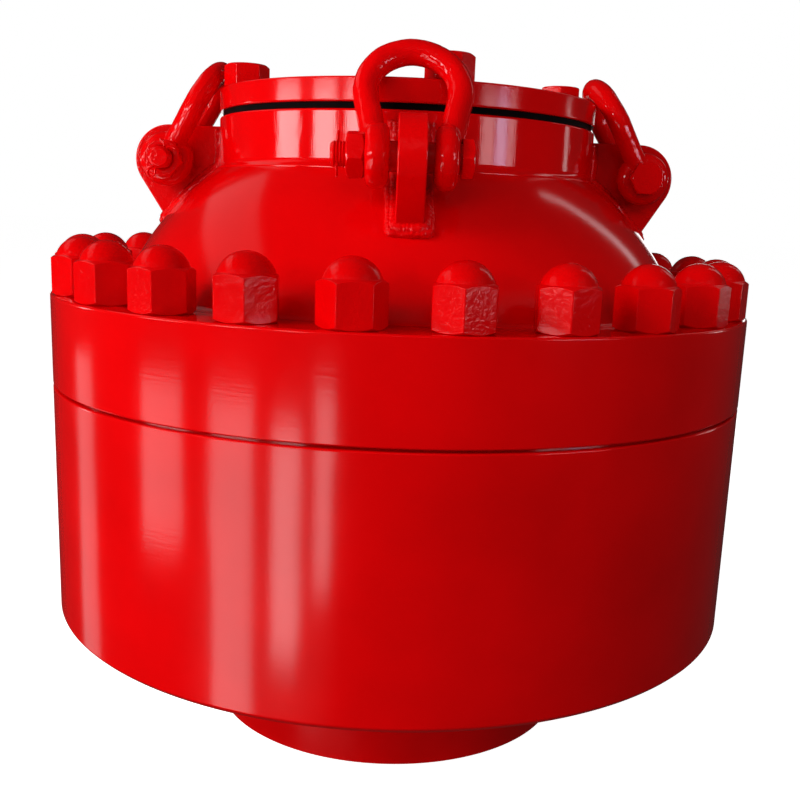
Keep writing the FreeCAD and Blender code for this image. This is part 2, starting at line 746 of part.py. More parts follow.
def make_shackle_pin(side):
    """A bolt whose head stands off the eye, its thread thinner than its shank and drilled."""
    body = new_body("shackle_pin_" + side)
    grip = "(jaw_half_gap + eye_thickness)"
    revolve(body, "shank", [
        ("0", "0 - %s - pin_thread_length" % grip),
        ("pin_thread_radius - 1.5", "0 - %s - pin_thread_length" % grip),
        ("pin_thread_radius", "1.5 - %s - pin_thread_length" % grip),
        ("pin_thread_radius", "0 - %s" % grip),
        ("pin_shank_radius", "0 - %s" % grip),
        ("pin_shank_radius", grip + " + pin_head_gap"),
        ("0", grip + " + pin_head_gap"),
    ])
    sketch = new_sketch(body, "head_hexagon", "XY_Plane", grip + " + pin_head_gap")
    draw_hexagon(sketch, "pin_head_flats")
    pad(body, "head", sketch, "pin_head_height")
    bevel_hexagon(body, "bevel", "pin_head_flats", grip + " + pin_head_gap + pin_head_height",
                  "pin_head_flats / 2 - 1")
    cross = new_sketch(body, "cross_circle", "XZ_Plane")
    draw_circle(cross, "cotter_radius", "0",
                "cotter_inset - %s - pin_thread_length" % grip)
    pocket(body, "cross_hole", cross, "pin_thread_radius * 2 + 2", both_ways=True)
    body.Placement = pin_place(side, 0)
    return body


def make_shackle_nut(side):
    body = make_hex_nut("shackle_nut_" + side, "shackle_nut_flats", "shackle_nut_height",
                        "pin_thread_radius")
    grip = value("jaw_half_gap + eye_thickness")
    flip = Placement(Vector(), Rotation(Vector(1, 0, 0), 180))
    turn = Placement(Vector(), Rotation(Vector(0, 0, 1), SHACKLE_NUT_TURN))
    body.Placement = pin_place(side, -grip).multiply(flip).multiply(turn)
    return body


def make_cotter_pin(side):
    """A split pin through the end of the thread: its stem and the eye at one end."""
    inset = value("cotter_inset - pin_thread_length - jaw_half_gap - eye_thickness")
    seat = pin_place(side, inset)
    across = Placement(Vector(), Rotation(Vector(1, 0, 0), 90))
    stem = doc.addObject("Part::Cylinder", "cotter_stem_" + side)
    bind(stem, Radius="cotter_radius", Height="cotter_length")
    start = Placement(Vector(0, 0, -value("cotter_length") / 2), Rotation())
    stem.Placement = seat.multiply(across).multiply(start)
    eye = doc.addObject("Part::Torus", "cotter_eye_" + side)
    bind(eye, Radius1="cotter_eye_radius", Radius2="cotter_radius / 2")
    rise = value("cotter_length / 2 + cotter_eye_radius - 1")
    eye_seat = Placement(Vector(0, 0, rise), Rotation(Vector(0, 1, 0), 90))
    eye.Placement = seat.multiply(across).multiply(eye_seat)
    cotter = doc.addObject("Part::Fuse", "cotter_pin_" + side)
    cotter.Base = stem
    cotter.Tool = eye
    cotter.Label = "cotter_pin_" + side
    doc.recompute()
    return cotter


# ---------------------------------------------------------------- the whole preventer
bonnet_body = make_bonnet()
cap_nut_body = make_cap_nut_pattern()
parts = [make_bottom_flange(), make_lower_housing(), bonnet_body, make_piston(),
         make_packing_element(), make_housing_studs(), make_cover_gasket(),
         make_cover_plate(), make_cover_studs()]
for number, (azimuth, turn) in enumerate(zip(COVER_NUT_AZIMUTHS, COVER_NUT_TURNS), start=1):
    parts.append(make_cover_nut(number, azimuth, turn))
lugs = {side: make_lifting_lug(side, bonnet_body) for side in SIDES}
weld_beads = make_weld_beads(lugs["front"])
for side in SIDES:
    parts.append(make_cap_nuts(cap_nut_body, side))
    parts.append(lugs[side])
    parts.append(make_lug_weld(side, weld_beads, bonnet_body))
    parts.append(make_shackle_bow(side))
    parts.append(make_shackle_pin(side))
    parts.append(make_shackle_nut(side))
    parts.append(make_cotter_pin(side))
doc.recompute()

for item in doc.Objects:
    if "Invalid" in item.State or "Error" in item.State:
        raise RuntimeError("%s: %s" % (item.Name, item.State))
os.makedirs("parts", exist_ok=True)
for part in parts:
    if part.Shape.isNull() or not part.Shape.isValid():
        raise RuntimeError("%s has no valid shape" % part.Label)
    part.Shape.exportStep("parts/%s.step" % part.Label)
    print("%-24s %2d solid(s) %12.1f cm3" % (part.Label, len(part.Shape.Solids),
                                             part.Shape.Volume / 1000))
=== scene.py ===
"""The looks of an annular blowout preventer: red gloss enamel over castings and forgings.

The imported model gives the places, and the constants below give the sizes that it doesn't.
Pieces are shaped in millimetres, in the model's own frame with +Z up and the front lifting
lug facing -Y, and finish_piece turns them to metres.
"""
import json
import math
import random

import bmesh
import bpy
from mathutils import Matrix, Vector, noise


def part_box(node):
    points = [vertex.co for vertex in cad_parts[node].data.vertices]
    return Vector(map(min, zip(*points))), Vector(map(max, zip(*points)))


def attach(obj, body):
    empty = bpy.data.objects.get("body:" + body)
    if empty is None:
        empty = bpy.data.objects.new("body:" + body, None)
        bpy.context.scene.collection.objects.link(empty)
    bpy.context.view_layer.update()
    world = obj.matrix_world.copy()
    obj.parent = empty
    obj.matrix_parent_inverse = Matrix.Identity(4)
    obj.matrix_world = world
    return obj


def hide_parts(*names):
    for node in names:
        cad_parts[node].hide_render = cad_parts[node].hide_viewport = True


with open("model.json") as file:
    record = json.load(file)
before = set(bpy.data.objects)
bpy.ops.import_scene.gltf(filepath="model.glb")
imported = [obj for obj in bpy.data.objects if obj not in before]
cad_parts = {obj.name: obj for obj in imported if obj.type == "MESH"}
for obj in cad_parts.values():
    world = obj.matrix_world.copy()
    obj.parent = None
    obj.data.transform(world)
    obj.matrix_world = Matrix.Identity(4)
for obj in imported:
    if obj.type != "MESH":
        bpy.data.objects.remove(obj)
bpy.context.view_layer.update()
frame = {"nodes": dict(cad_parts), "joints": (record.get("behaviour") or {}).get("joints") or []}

MM = 0.001
UP = Vector((0, 0, 1))


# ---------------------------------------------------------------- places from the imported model
def lowest(node, axis=2):
    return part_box(node)[0][axis] / MM


def highest(node, axis=2):
    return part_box(node)[1][axis] / MM


BODY_R = highest("lower_housing", 0)
HOUSING_BOTTOM = lowest("lower_housing")
SEAM = lowest("bonnet")
BONNET_TOP = lowest("cap_nuts_front")
NECK_TOP = highest("bonnet")
NECK_R = highest("cover_plate", 0)
COVER_BOTTOM = lowest("cover_plate")
COVER_TOP = highest("cover_plate")
FLANGE_R = highest("bottom_flange", 0)
CAP_NUT_TOP = highest("cap_nuts_front")
COVER_NUT_TOP = highest("cover_nut_1")
LUG_TOP = highest("lifting_lug_right")
JOINTS = {joint["child"]: joint for joint in frame["joints"]}
PIN_R = JOINTS["shackle_right"]["pos_m"][0] / MM
PIN_Z = JOINTS["shackle_right"]["pos_m"][2] / MM

# ---------------------------------------------------------------- sizes, mm
BORE_R = 139.7
HUB_R = 184.2
HUB_FILLET = 12.7
RAISED_FACE_R = 206.4
RAISED_FACE = 7.9
FLANGE_TOP = 71.4
GROOVE_R, GROOVE_WIDTH, GROOVE_FLOOR, GROOVE_DEPTH = 161.9, 11.9, 5.2, 7.9
BOLT_CIRCLE_R, BOLT_HOLE_R, BOLTS = 235.0, 19.05, 16
SEAM_GAP, SEAM_DEPTH = 3.5, 11.0
RIM_CHAMFER = 7.0
CAVITY_R, CAVITY_FLOOR, SLEEVE_R, SLEEVE_TOP = 420.0, 251.0, 165.0, 408.0
DOME_R, DOME_INNER_R, DOME_CENTRE = 451.0, 385.0, 460.4
STUD_CIRCLE_R, STUDS = 466.0, 24
CAP_NUT_FLATS, CAP_NUT_HEX, CAP_NUT_BALL_R = 69.85, 53.0, 34.3
COVER_NUT_FLATS, COVER_STUD_R = 55.6, 17.45
GASKET_INNER_R, GASKET_R = 150.0, 268.0
LUG_THICKNESS, LUG_CORNER_R, LUG_HOLE_R = 34.0, 50.0, 19.0
LUG_SLOPE = math.radians(58)
LUG_EDGE, LUG_ROOT_DEPTH, LUG_ROOT_Z = 90.0, 10.0, 799.0
BEAD_STEP, RIPPLE_PITCH = 1.6, 5.2
WELD_SEED = 1795407215
BOW_BAR_R, BOW_CROWN_R, BOW_CROWN_HEIGHT = 15.5, 56.75, 88.7
JAW, EYE_R, EYE_THICKNESS = 25.75, 38.0, 29.0
PIN_SHANK_R, PIN_THREAD_R, PIN_THREAD_LENGTH = 17.5, 15.0, 39.5
PIN_HEAD_FLATS, PIN_HEAD_HEIGHT, PIN_HEAD_GAP = 44.5, 15.0, 3.0
SHACKLE_NUT_FLATS, SHACKLE_NUT_HEIGHT, SHACKLE_NUT_TURN = 50.0, 21.0, -11
BOW_LEAN = math.radians(30.2)

# Azimuths run from +X towards +Y, so the front is at 270 degrees.
SIDES = {"front": 270, "right": 0, "back": 90, "left": 180}
PIN_HEAD_SIDE = {"front": 1, "right": -1, "back": 1, "left": -1}
CAP_NUT_TURNS = {
    "front": (2, 56, 14, 18, 5, 22),
    "right": (59, 51, 42, 19, 35, 52),
    "back": (11, 39, 0, 25, 47, 14),
    "left": (54, 32, 8, 43, 34, 17),
}
COVER_NUTS = ((281.25, 43), (11.25, 40), (101.25, 43), (191.25, 29))


# ---------------------------------------------------------------- materials
def rgba(hex_colour):
    """An sRGB hex colour as the linear colour that a shader takes."""
    parts = [int(hex_colour[i:i + 2], 16) / 255 for i in (1, 3, 5)]
    linear = [p / 12.92 if p <= 0.04045 else ((p + 0.055) / 1.055) ** 2.4 for p in parts]
    return (*linear, 1.0)


def add(tree, kind, inputs=None, **settings):
    """Adds a node with its settings.  An input is a number, a colour, a node or a socket."""
    node = tree.nodes.new(kind)
    for name, setting in settings.items():
        setattr(node, name, setting)
    for name, entry in (inputs or {}).items():
        if isinstance(entry, bpy.types.Node):
            entry = entry.outputs[0]
        if isinstance(entry, bpy.types.NodeSocket):
            tree.links.new(entry, node.inputs[name])
        else:
            node.inputs[name].default_value = entry
    return node


def new_material(name):
    material = bpy.data.materials.new(name)
    material.use_nodes = True
    tree = material.node_tree
    tree.nodes.clear()
    place = add(tree, "ShaderNodeTexCoord").outputs["Object"]
    return material, tree, place


def relief(tree, place, wavelength, depth, stretch=(1, 1, 1), detail=2.0, below=None):
    """Uneven skin: swells a wavelength apart and a depth high, both in mm, as a normal."""
    drawn = add(tree, "ShaderNodeMapping", {"Vector": place, "Scale": stretch})
    swells = add(tree, "ShaderNodeTexNoise", {
        "Vector": drawn, "Scale": 1 / (wavelength * MM), "Detail": detail,
        "Roughness": 0.55})
    lower = {} if below is None else {"Normal": below}
    return add(tree, "ShaderNodeBump", {
        "Height": swells, "Distance": depth * MM, "Strength": 1.0, **lower})


# Each finish: the steel's own relief as (wavelength, depth, stretch, detail) from coarse to
# fine, then the orange peel's depth in mm and the roughness of the clear top film.
PAINTED = {
    "turned_casting": ([(90, 0.6, (1, 1, 0.5), 1.0), (3.0, 0.035, (0.05, 0.05, 1), 1.0)],
                       0.045, 0.12),
    "turned_neck": ([(60, 0.2, (1, 1, 0.5), 1.0), (1.6, 0.05, (1, 1, 0.05), 1.0)],
                    0.015, 0.07),
    "sawn_plate_edge": ([(1.5, 0.10, (0.22, 0.22, 1), 2.0)], 0.03, 0.12),
    "blasted_plate": ([(5, 0.45, (1, 1, 1), 3.0)], 0.04, 0.12),
    "drop_forging": ([(26, 1.6, (1, 1, 1), 2.0), (6, 0.2, (1, 1, 1), 2.0)], 0.04, 0.09),
    "nut_forging": ([(22, 0.6, (1, 1, 1), 2.0), (4, 0.45, (1, 1, 1), 3.0)], 0.03, 0.10),
    "weld": ([(7, 2.4, (1, 1, 1), 3.0)], 0.04, 0.09),
}


def red_enamel(finish):
    """Two-pack red enamel, sprayed thick and left glossy.

    The spray leaves orange peel some 3.5 mm across, and where it ran thinner the red is a
    little deeper.  The steel's own relief shows through it.
    """
    steel, peel, gloss = PAINTED[finish]
    material, tree, place = new_material("red_enamel_on_" + finish)
    thickness = add(tree, "ShaderNodeTexNoise", {
        "Vector": place, "Scale": 1 / (140 * MM), "Detail": 3.0})
    thin = add(tree, "ShaderNodeMapRange", {
        "Value": thickness, "From Min": 0.35, "From Max": 0.7})
    colour = add(tree, "ShaderNodeMix", {
        0: thin, 6: rgba("#DC0003"), 7: rgba("#CE0002")}, data_type="RGBA").outputs[2]
    normal = None
    for wavelength, depth, stretch, detail in steel:
        normal = relief(tree, place, wavelength, depth, stretch, detail, normal)
    normal = relief(tree, place, 3.5, peel, below=normal)
    shader = add(tree, "ShaderNodeBsdfPrincipled", {
        "Base Color": colour, "Roughness": 0.6, "Specular IOR Level": 0.0, "Normal": normal,
        "Coat Weight": 1.0, "Coat Roughness": gloss, "Coat IOR": 1.5,
        "Coat Normal": normal})
    add(tree, "ShaderNodeOutputMaterial", {"Surface": shader})
    return material


def nitrile_rubber(name, colour, bloomed, roughness):
    """Black nitrile rubber: matt, moulded with a fine grain, with a faint grey bloom."""
    material, tree, place = new_material(name)
    patches = add(tree, "ShaderNodeTexNoise", {
        "Vector": place, "Scale": 1 / (30 * MM), "Detail": 3.0})
    bloom = add(tree, "ShaderNodeMapRange", {
        "Value": patches, "From Min": 0.45, "From Max": 0.8})
    mix = add(tree, "ShaderNodeMix", {0: bloom, 6: rgba(colour), 7: rgba(bloomed)},
              data_type="RGBA").outputs[2]
    shader = add(tree, "ShaderNodeBsdfPrincipled", {
        "Base Color": mix, "Roughness": roughness, "Specular IOR Level": 0.12,
        "Normal": relief(tree, place, 1.5, 0.06)})
    add(tree, "ShaderNodeOutputMaterial", {"Surface": shader})
    return material


def turned_steel(name):
    """Turned and oiled alloy steel: fine rings round the axis and a brownish oil film."""
    material, tree, place = new_material(name)
    rings = add(tree, "ShaderNodeTexWave", {
        "Vector": place, "Scale": 1 / (20 * 1.2 * MM), "Distortion": 1.0},
        wave_type="BANDS", bands_direction="Z")
    film = add(tree, "ShaderNodeTexNoise", {
        "Vector": place, "Scale": 1 / (45 * MM), "Detail": 3.0})
    oily = add(tree, "ShaderNodeMapRange", {
        "Value": film, "From Min": 0.35, "From Max": 0.7})
    mix = add(tree, "ShaderNodeMix", {0: oily, 6: rgba("#8C8880"), 7: rgba("#5E5348")},
              data_type="RGBA").outputs[2]
    normal = add(tree, "ShaderNodeBump", {
        "Height": rings, "Distance": 0.02 * MM, "Strength": 1.0})
    shader = add(tree, "ShaderNodeBsdfPrincipled", {
        "Base Color": mix, "Metallic": 1.0, "Roughness": 0.34, "Normal": normal})
    add(tree, "ShaderNodeOutputMaterial", {"Surface": shader})
    return material


ENAMEL = {finish: red_enamel(finish) for finish in PAINTED}
SHEET_RUBBER = nitrile_rubber("black_sheet_rubber", "#020102", "#080607", 0.7)
PACKING_RUBBER = nitrile_rubber("moulded_nitrile_rubber", "#141314", "#2A2829", 0.5)
TURNED_STEEL = turned_steel("turned_oiled_steel")


# ---------------------------------------------------------------- shaping helpers
def arc(centre_r, centre_z, radius, start, end, steps):
    """Points on an arc, as (radius, height) pairs, between two angles in degrees from +R."""
    angles = [math.radians(start + (end - start) * i / steps) for i in range(steps + 1)]
    return [(centre_r + radius * math.cos(a), centre_z + radius * math.sin(a))
            for a in angles]


def round_corner(bm, vert, size):
    bmesh.ops.bevel(bm, geom=[vert], offset=size, offset_type="OFFSET", segments=4,
                    profile=0.5, affect="VERTICES", material=-1)


def lathe(corners, turns=240, start=None):
    """Spins an outline of (radius, height) or (radius, height, rounding) about +Z."""
    bm = bmesh.new() if start is None else start
    verts = [bm.verts.new((corner[0], 0, corner[1])) for corner in corners]
    edges = [bm.edges.new(pair) for pair in zip(verts, verts[1:] + verts[:1])
             if pair[0].co.x > 0 or pair[1].co.x > 0]
    for vert, corner in zip(verts, corners):
        if len(corner) > 2:
            round_corner(bm, vert, corner[2])
    bmesh.ops.spin(bm, geom=bm.verts[:] + bm.edges[:], cent=(0, 0, 0), axis=UP,
                   dvec=(0, 0, 0), angle=math.tau, steps=turns, use_merge=True)
    bmesh.ops.remove_doubles(bm, verts=bm.verts, dist=0.001)
    bmesh.ops.recalc_face_normals(bm, faces=bm.faces)
    return bm


def slice_flats(bm, flats):
    """Cuts a turned blank to a hexagon of that size across the flats."""
    for index in range(6):
        angle = math.tau * index / 6
        outward = Vector((math.cos(angle), math.sin(angle), 0))
        cut = bmesh.ops.bisect_plane(
            bm, geom=bm.verts[:] + bm.edges[:] + bm.faces[:], plane_co=outward * flats / 2,
            plane_no=outward, clear_outer=True)["geom_cut"]
        rim = [item for item in cut if isinstance(item, bmesh.types.BMEdge)]
        bmesh.ops.holes_fill(bm, edges=rim, sides=0)


def soften(bm, size, angle=28, segments=2):
    """Rounds every edge that is sharper than the angle."""
    sharp = [edge for edge in bm.edges if len(edge.link_faces) == 2
             and edge.calc_face_angle(0) > math.radians(angle)]
    bmesh.ops.bevel(bm, geom=sharp, offset=size, offset_type="OFFSET", segments=segments,
                    profile=0.5, affect="EDGES", clamp_overlap=True, material=-1)


def placed(azimuth, place=Matrix.Identity(4)):
    return Matrix.Rotation(math.radians(azimuth), 4, "Z") @ place


def to_mesh(bm, name):
    mesh = bpy.data.meshes.new(name)
    bm.to_mesh(mesh)
    bm.free()
    return mesh


def finish_piece(name, mesh, material, stands_for=(), body="root", smooth=32):
    """Turns a mesh in millimetres into a finished piece in metres that rides on a body."""
    mesh.name = name
    mesh.transform(Matrix.Scale(MM, 4))
    mesh.materials.clear()
    mesh.materials.append(material)
    mesh.shade_smooth()
    mesh.set_sharp_from_angle(angle=math.radians(smooth))
    piece = bpy.data.objects.new(name, mesh)
    bpy.context.scene.collection.objects.link(piece)
    weigh = piece.modifiers.new("even_normals", "WEIGHTED_NORMAL")
    weigh.keep_sharp = True
    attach(piece, body)
    if stands_for:
        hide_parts(*stands_for)
    return piece


def worked(shape, *makers):
    """The mesh of a curve or mesh after each maker, a function that adds modifiers to it."""
    worker = bpy.data.objects.new("worker", shape)
    bpy.context.scene.collection.objects.link(worker)
    for maker in makers:
        maker(worker)
    graph = bpy.context.evaluated_depsgraph_get()
    made = bpy.data.meshes.new_from_object(worker.evaluated_get(graph))
    bpy.data.objects.remove(worker)
    return made


def drilled(mesh, drills):
    """The mesh less the drills, a mesh of cylinders."""
    bits = bpy.data.objects.new("drills", drills)
    bpy.context.scene.collection.objects.link(bits)

    def cut(worker):
        boolean = worker.modifiers.new("holes", "BOOLEAN")
        boolean.operation = "DIFFERENCE"
        boolean.solver = "EXACT"
        boolean.object = bits

    made = worked(mesh, cut)
    bpy.data.objects.remove(bits)
    return made


def round_wire(name, radius):
    """An empty curve of round section, to be given its splines."""
    curve = bpy.data.curves.new(name, "CURVE")
    curve.dimensions = "3D"
    curve.bevel_depth = radius
    curve.bevel_resolution = 3
    curve.use_fill_caps = True
    return curve


def cylinder(bm, radius, length, place, segments=48):
    """A closed cylinder along the placed Z axis, centred on the place."""
    bmesh.ops.create_cone(bm, cap_ends=True, cap_tris=False, segments=segments,
                          radius1=radius, radius2=radius, depth=length, matrix=place)


def joined(meshes):
    bm = bmesh.new()
    for mesh in meshes:
        bm.from_mesh(mesh)
    return to_mesh(bm, "joined")


def copies(mesh, places):
    """One mesh holding a copy of another at each place."""
    made = []
    for place in places:
        twin = mesh.copy()
        twin.transform(place)
        made.append(twin)
    return joined(made)


# ---------------------------------------------------------------- pressure shell
def make_bottom_flange():
    """The studded flange with its ring groove and drilled holes, and the hub over it."""
    bm = lathe([
        (BORE_R, 0, 2.0),
        (GROOVE_R - GROOVE_WIDTH / 2, 0, 0.6),
        (GROOVE_R - GROOVE_FLOOR / 2, GROOVE_DEPTH, 0.8),
        (GROOVE_R + GROOVE_FLOOR / 2, GROOVE_DEPTH, 0.8),
        (GROOVE_R + GROOVE_WIDTH / 2, 0, 0.6),
        (RAISED_FACE_R, 0, 1.0),
        (RAISED_FACE_R, RAISED_FACE),
        (FLANGE_R, RAISED_FACE, 3.0),
        (FLANGE_R, FLANGE_TOP, 3.0),
        (HUB_R, FLANGE_TOP, HUB_FILLET),
        (HUB_R, HOUSING_BOTTOM, HUB_FILLET),
        (HUB_R + HUB_FILLET, HOUSING_BOTTOM),
        (BORE_R, HOUSING_BOTTOM),
    ])
    drills = bmesh.new()
    for number in range(BOLTS):
        place = placed((number + 0.5) * 360 / BOLTS,
                       Matrix.Translation((BOLT_CIRCLE_R, 0, FLANGE_TOP / 2)))
        cylinder(drills, BOLT_HOLE_R, FLANGE_TOP + 20, place)
    mesh = drilled(to_mesh(bm, "flange"), to_mesh(drills, "drills"))
    finish_piece("bottom_flange_and_hub", mesh, ENAMEL["turned_casting"],
                 ["bottom_flange"])


def make_housing():
    """The outer wall with its chamfered rim, and the sleeve inside."""
    lip = SEAM - SEAM_GAP / 2
    bm = lathe([
        (BORE_R, HOUSING_BOTTOM),
        (BODY_R - RIM_CHAMFER, HOUSING_BOTTOM, 2.0),
        (BODY_R, HOUSING_BOTTOM + RIM_CHAMFER, 2.0),
        (BODY_R, lip, 2.5),
        (BODY_R - SEAM_DEPTH, lip),
        (BODY_R - SEAM_DEPTH, SEAM),
        (CAVITY_R, SEAM),
        (CAVITY_R, CAVITY_FLOOR, 10.0),
        (SLEEVE_R, CAVITY_FLOOR, 8.0),
        (SLEEVE_R, SLEEVE_TOP, 2.0),
        (BORE_R, SLEEVE_TOP, 2.0),
    ], turns=320)
    finish_piece("housing_casting", to_mesh(bm, "housing"), ENAMEL["turned_casting"],
                 ["lower_housing"])


def angle_on_dome(radius, height):
    return math.degrees(math.atan2(height - DOME_CENTRE, radius))


def make_bonnet():
    """The bonnet's flange and dome, with its turned neck as a piece of its own."""
    lip = SEAM + SEAM_GAP / 2
    foot = 10.0
    foot_height = BONNET_TOP + foot
    foot_r = math.sqrt((DOME_R + foot) ** 2 - (foot_height - DOME_CENTRE) ** 2)
    foot_angle = angle_on_dome(foot_r, foot_height)
    neck_height = DOME_CENTRE + math.sqrt(DOME_R ** 2 - NECK_R ** 2)
    neck_angle = angle_on_dome(NECK_R, neck_height)
    inner_start = angle_on_dome(
        math.sqrt(DOME_INNER_R ** 2 - (SEAM - DOME_CENTRE) ** 2), SEAM)
    inner_end = angle_on_dome(
        BORE_R, DOME_CENTRE + math.sqrt(DOME_INNER_R ** 2 - BORE_R ** 2))
    inner = arc(0, DOME_CENTRE, DOME_INNER_R, inner_end, inner_start, 24)
    bm = lathe([
        *inner,
        (BODY_R - SEAM_DEPTH, SEAM),
        (BODY_R - SEAM_DEPTH, lip),
        (BODY_R, lip, 2.5),
        (BODY_R, BONNET_TOP, 3.0),
        *arc(foot_r, foot_height, foot, 270, 180 + foot_angle, 6),
        *arc(0, DOME_CENTRE, DOME_R, foot_angle, neck_angle, 40)[1:],
        (BORE_R, neck_height),
    ], turns=320)
    finish_piece("bonnet_casting", to_mesh(bm, "bonnet"), ENAMEL["turned_casting"],
                 ["bonnet"])
    bm = lathe([
        (BORE_R, neck_height),
        (NECK_R + 6.0, neck_height - 4.5),
        (NECK_R + 6.0, neck_height - 3.0, 1.0),
        (NECK_R, neck_height + 3.0, 4.0),
        (NECK_R, NECK_TOP, 3.0),
        (BORE_R, NECK_TOP, 2.0),
    ], turns=320)
    finish_piece("bonnet_neck", to_mesh(bm, "neck"), ENAMEL["turned_neck"])


# ---------------------------------------------------------------- cover
def make_cover():
    """The blank plate and the rubber ring that it is bolted down on."""
    bm = lathe([
        (0, COVER_BOTTOM),
        (NECK_R, COVER_BOTTOM, 2.5),
        (NECK_R, COVER_TOP, 2.5),
        (0, COVER_TOP),
    ], turns=320)
    finish_piece("cover_blank_plate", to_mesh(bm, "cover"), ENAMEL["sawn_plate_edge"],
                 ["cover_plate"])
    bm = lathe([
        (GASKET_INNER_R, NECK_TOP),
        (GASKET_R, NECK_TOP, 0.8),
        (GASKET_R, COVER_BOTTOM, 0.8),
        (GASKET_INNER_R, COVER_BOTTOM),
    ])
    finish_piece("cover_gasket_ring", to_mesh(bm, "gasket"), SHEET_RUBBER,
                 ["cover_gasket"])


def hexagon_nut(flats, height, hole_r, chamfer=3.0):
    """A nut standing on the origin: both faces chamfered, the hole countersunk."""
    corner_r = flats / 2 / math.cos(math.pi / 6)
    drop = (corner_r - flats / 2 + 1) * math.tan(math.radians(30))
    bm = lathe([
        (hole_r, chamfer),
        (hole_r + chamfer, 0),
        (flats / 2 - 1, 0),
        (corner_r - 0.5, drop),
        (corner_r - 0.5, height - drop),
        (flats / 2 - 1, height),
        (hole_r + chamfer, height),
        (hole_r, height - chamfer),
    ], turns=72)
    slice_flats(bm, flats)
    soften(bm, 0.9)
    return to_mesh(bm, "nut")


def make_cover_nuts():
    """The four nuts of the cover."""
    nut = hexagon_nut(COVER_NUT_FLATS, COVER_NUT_TOP - COVER_TOP, COVER_STUD_R)
    for number, (azimuth, turn) in enumerate(COVER_NUTS, start=1):
        seat = Matrix.Translation((BOLT_CIRCLE_R, 0, COVER_TOP))
        place = placed(azimuth, seat @ Matrix.Rotation(math.radians(turn), 4, "Z"))
        finish_piece("cover_hex_nut_%d" % number, copies(nut, [place]), ENAMEL["nut_forging"],
                     ["cover_nut_%d" % number])


def cap_nut():
    """Hexagon with both ends chamfered and a ball end that rises out of it."""
    corner_r = CAP_NUT_FLATS / 2 / math.cos(math.pi / 6) - 0.6
    shoulder = CAP_NUT_FLATS / 2 - 1.0
    drop = (corner_r - shoulder) * math.tan(math.radians(30))
    ball_z = CAP_NUT_TOP - BONNET_TOP - CAP_NUT_BALL_R
    start = math.degrees(math.asin((CAP_NUT_HEX + 0.5 - ball_z) / CAP_NUT_BALL_R))
    bm = lathe([
        (0, 0),
        (shoulder, 0),
        (corner_r, drop),
        (corner_r, CAP_NUT_HEX - drop),
        (shoulder, CAP_NUT_HEX),
        *arc(0, ball_z, CAP_NUT_BALL_R, start, 90, 14)[:-1],
        (0, ball_z + CAP_NUT_BALL_R),
    ], turns=72)
    slice_flats(bm, CAP_NUT_FLATS)
    soften(bm, 1.1)
    return to_mesh(bm, "cap_nut")


def make_cap_nuts():
    nut = cap_nut()
    step = 360 / STUDS
    for side, azimuth in SIDES.items():
        places = []
        for index, turn in enumerate(CAP_NUT_TURNS[side]):
            seat = Matrix.Translation((STUD_CIRCLE_R, 0, BONNET_TOP))
            places.append(placed(azimuth + step * (index - 2.5),
                                 seat @ Matrix.Rotation(math.radians(turn), 4, "Z")))
        finish_piece("cap_nut_forgings_" + side, copies(nut, places), ENAMEL["nut_forging"],
                     ["cap_nuts_" + side])


# ---------------------------------------------------------------- lifting lugs
def lug_outline():
    """The lug's outline as (radial, height) points, from the neck's top corner round."""
    end = Vector((PIN_R + LUG_CORNER_R * math.sin(LUG_SLOPE),
                  PIN_Z - LUG_CORNER_R * math.cos(LUG_SLOPE)))
    foot = end - LUG_EDGE * Vector((math.cos(LUG_SLOPE), math.sin(LUG_SLOPE)))
    nose = arc(PIN_R, PIN_Z, LUG_CORNER_R, 90, -30, 24)
    root = NECK_R - LUG_ROOT_DEPTH
    return [(root, LUG_TOP), *nose, tuple(foot), (root, LUG_ROOT_Z)]


def make_lugs():
    """Four flame-cut plates with rounded edges, each drilled for its pin."""
    bm = bmesh.new()
    half = LUG_THICKNESS / 2
    rim = [bm.verts.new((r, -half, z)) for r, z in lug_outline()]
    face = bm.faces.new(rim)
    sides = bmesh.ops.extrude_face_region(bm, geom=[face])["geom"]
    moved = [item for item in sides if isinstance(item, bmesh.types.BMVert)]
    bmesh.ops.translate(bm, verts=moved, vec=(0, LUG_THICKNESS, 0))
    bmesh.ops.recalc_face_normals(bm, faces=bm.faces)
    soften(bm, 2.2, angle=40, segments=3)
    drill = bmesh.new()
    along = Matrix.Translation((PIN_R, 0, PIN_Z)) @ Matrix.Rotation(math.pi / 2, 4, "X")
    cylinder(drill, LUG_HOLE_R, LUG_THICKNESS + 20, along)
    plate = drilled(to_mesh(bm, "lug"), to_mesh(drill, "drill"))
    for side, azimuth in SIDES.items():
        finish_piece("lug_plate_" + side, copies(plate, [placed(azimuth)]), ENAMEL["blasted_plate"],
                     ["lifting_lug_" + side], smooth=30)


def weld_route(inset):
    """The foot of a lug as points: down the neck, down the dome, round the toe and back."""
    half = LUG_THICKNESS / 2 + inset
    neck = math.sqrt(NECK_R ** 2 - half ** 2)
    turn = math.degrees(math.acos(neck / DOME_R))
    toe_r = PIN_R + 3.5 + inset * 0.5
    toe = math.degrees(math.acos(toe_r / DOME_R))
    junction = DOME_CENTRE + math.sqrt(DOME_R ** 2 - NECK_R ** 2)
    fall = [(neck, junction + (LUG_TOP - 4 - junction) * (1 - i / 12)) for i in range(12)]
    slide = arc(0, DOME_CENTRE, DOME_R, turn, toe, 24)
    one = [Vector((r, -half, z)) for r, z in fall + slide]
    toe_z = DOME_CENTRE + DOME_R * math.sin(math.radians(toe))
    across = [Vector((toe_r + 2.5, half * (i / 4 - 1), toe_z - 1.5)) for i in range(1, 8)]
    back = [Vector((p.x, -p.y, p.z)) for p in reversed(one)]
    return one + across + back


